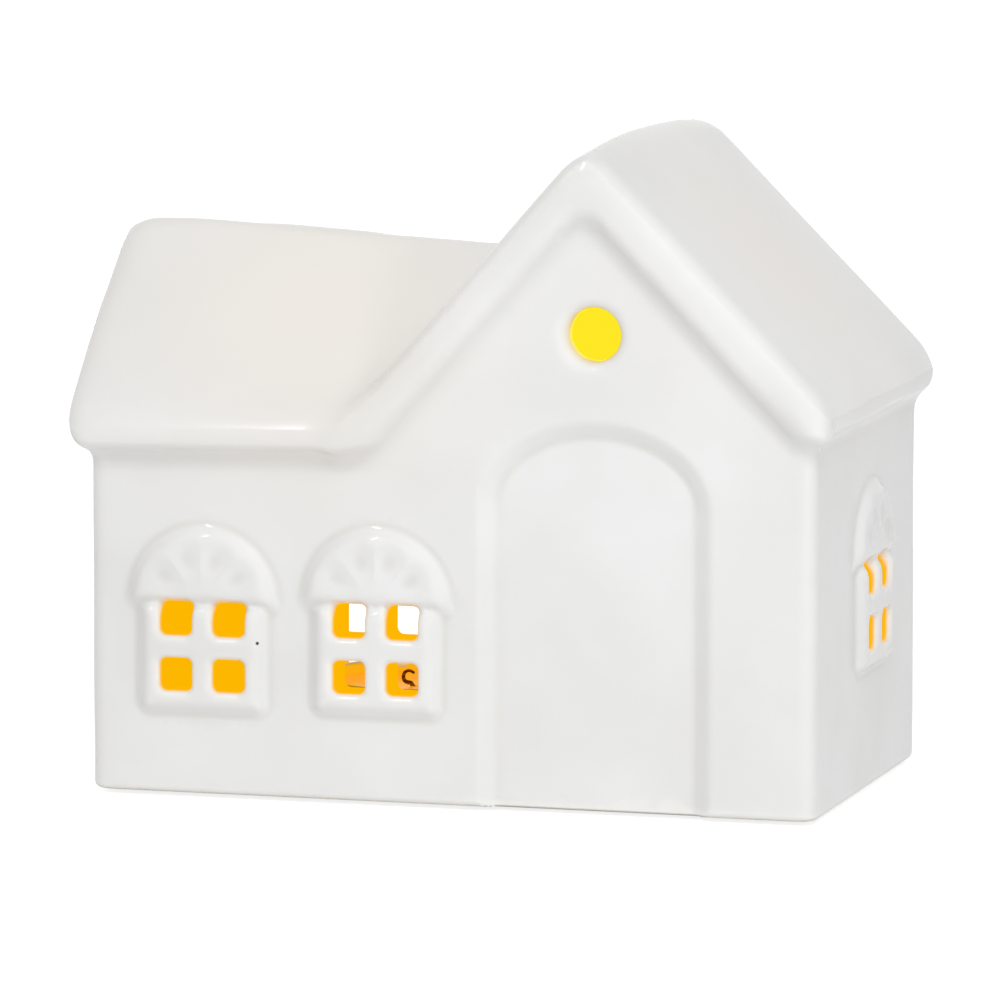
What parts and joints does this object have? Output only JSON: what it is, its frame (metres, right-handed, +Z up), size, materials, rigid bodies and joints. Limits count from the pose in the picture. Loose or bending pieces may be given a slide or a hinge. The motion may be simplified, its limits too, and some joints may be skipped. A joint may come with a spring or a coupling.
{
  "type": "house-shaped oil burner",
  "caption": "Glazed ceramic cottage oil burner: cross-gabled hollow house with cut-out windows, a tea light that slides in at the rear doorway and a lift-out oil dish in the rear roof.",
  "frame": {"origin": "on the table, under the middle of the whole object's bounding box", "axes": "+Z up, the front wall with the windows and the blind door faces -Y, +X to the right seen from the front"},
  "size_m": [0.1494, 0.0896, 0.1261],
  "materials": {
    "white_glaze": "glossy white glaze, slip cast, soft edges",
    "dish_glaze": "glossy white glaze",
    "cup_aluminium": "pressed foil, satin",
    "paraffin_wax": "poured wax, satin",
    "tab_aluminium": "pressed sheet",
    "wick_cotton": "braided cotton, burnt at the tip",
    "grey_felt": "needle felt"
  },
  "bodies": {
    "house": {"house_body": "white_glaze", "foot_pad_front_left": "grey_felt", "foot_pad_front_right": "grey_felt", "foot_pad_rear_left": "grey_felt", "foot_pad_rear_right": "grey_felt"},
    "dish": {"oil_dish": "dish_glaze"},
    "tealight": {"tealight_cup": "cup_aluminium", "tealight_wax": "paraffin_wax", "wick_tab": "tab_aluminium", "wick": "wick_cotton"}
  },
  "joints": [
    {"name": "dish_lift", "type": "slide", "parent": "house", "child": "dish", "axis": [0, 0, 1], "range_m": [0, 0.06]},
    {"name": "tealight_slide", "type": "slide", "parent": "house", "child": "tealight", "axis": [0, 1, 0], "range_m": [0, 0.06]}
  ]
}
